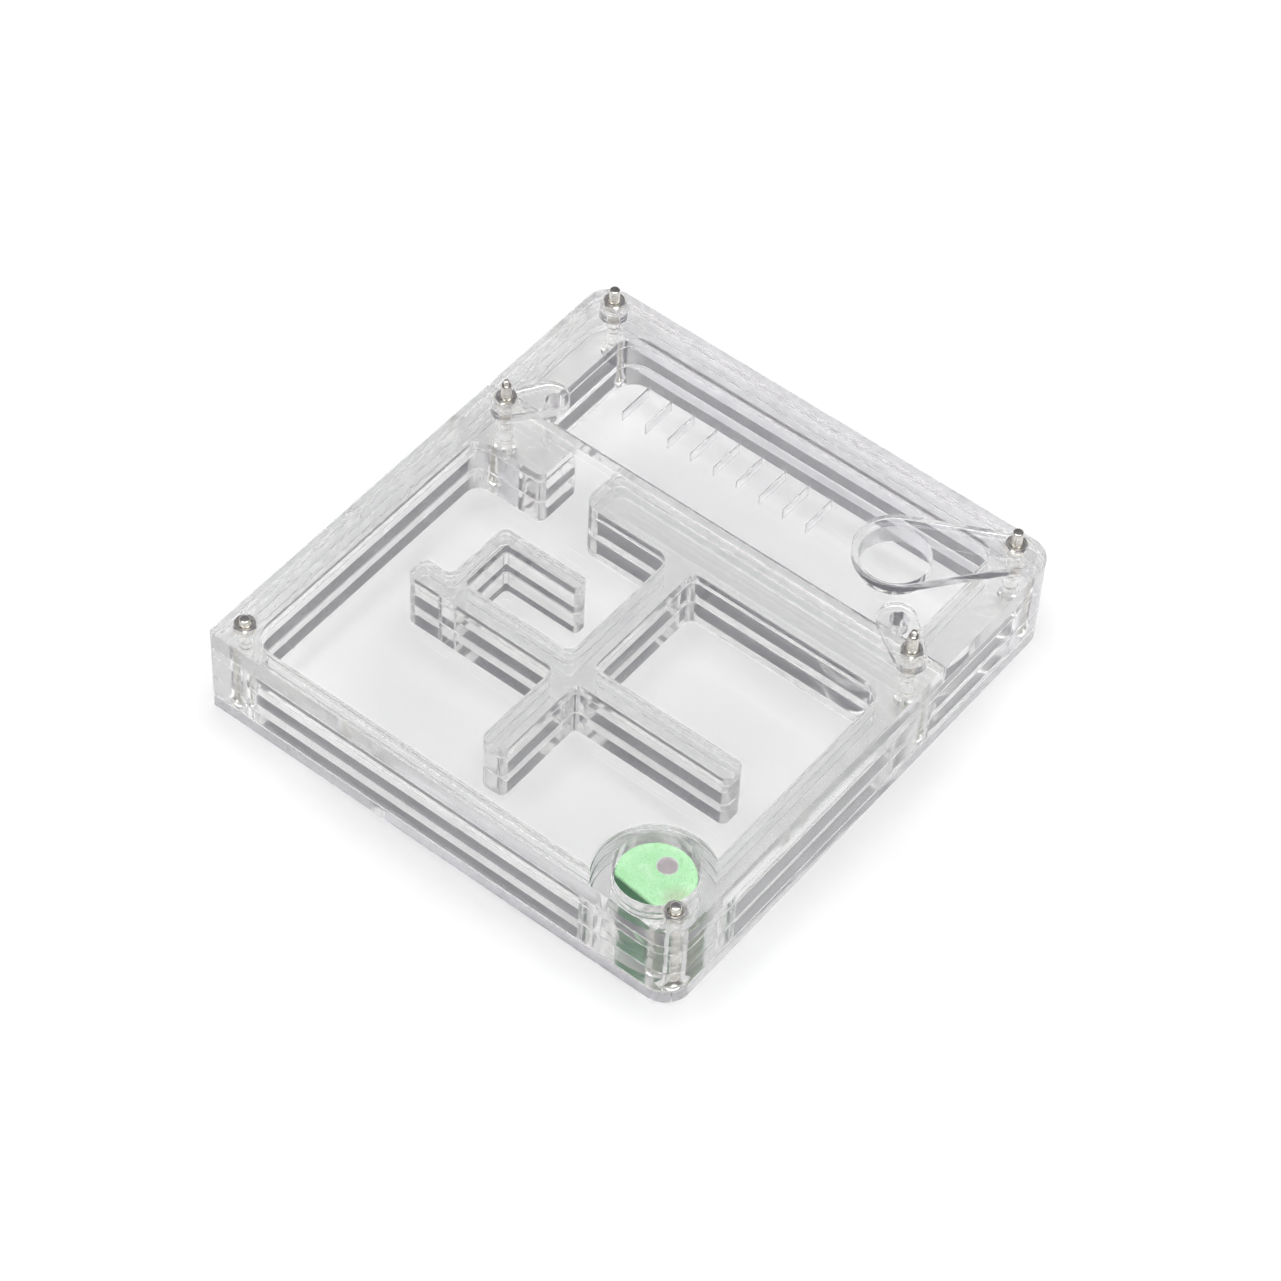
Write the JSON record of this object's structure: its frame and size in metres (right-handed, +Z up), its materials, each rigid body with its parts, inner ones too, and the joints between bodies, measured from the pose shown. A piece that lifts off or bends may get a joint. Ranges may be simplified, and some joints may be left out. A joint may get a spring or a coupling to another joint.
{
  "type": "ant nest",
  "caption": "Clear layered enclosure with a small maze of walled rooms, vent slits, a sponge water well and swinging port covers, held together by small screws and nuts.",
  "frame": {"origin": "middle of the base sheet's underside, which is what the nest stands on", "axes": "+Z up, +Y from the front edge with the water well to the rear edge with the foraging room, +X to the right along the front edge"},
  "size_m": [0.1, 0.107, 0.0284],
  "materials": {
    "acrylic_sheet": "clear cast sheet, polished faces and laser-cut edges",
    "acrylic_plate": "clear cast sheet, polished faces and laser-cut edges",
    "nickel_steel": "nickel plated, bright",
    "sponge": "damp open-cell sponge"
  },
  "bodies": {
    "nest": {"base_sheet": "acrylic_sheet", "room_sheet_lower": "acrylic_sheet", "room_sheet_upper": "acrylic_sheet", "room_sheet_top": "acrylic_sheet", "cover_front": "acrylic_sheet", "cover_rear": "acrylic_sheet", "washer_rear_left": "acrylic_plate", "screw_front_left": "nickel_steel", "screw_front_right": "nickel_steel", "screw_middle_left": "nickel_steel", "screw_middle_right": "nickel_steel", "screw_rear_left": "nickel_steel", "screw_rear_right": "nickel_steel", "nut_front_left": "nickel_steel", "nut_front_right": "nickel_steel", "nut_middle_left": "nickel_steel", "nut_middle_right": "nickel_steel", "nut_rear_left": "nickel_steel", "nut_rear_right": "nickel_steel", "sponge_pad": "sponge"},
    "big_plate": {"port_plate_big": "acrylic_plate"},
    "left_plate": {"port_plate_left": "acrylic_plate"},
    "right_plate": {"port_plate_right": "acrylic_plate"}
  },
  "joints": [
    {"name": "big_plate_swing", "type": "hinge", "parent": "nest", "child": "big_plate", "pos_m": [0.04485, 0.0477, 0.021], "axis": [0, 0, 1], "range_deg": [-265, 8]},
    {"name": "left_plate_swing", "type": "hinge", "parent": "nest", "child": "left_plate", "pos_m": [-0.04355, 0.0173, 0.021], "axis": [0, 0, 1], "range_deg": [-180, 180]},
    {"name": "right_plate_swing", "type": "hinge", "parent": "nest", "child": "right_plate", "pos_m": [0.04485, 0.0173, 0.021], "axis": [0, 0, 1], "range_deg": [-180, 180]}
  ]
}
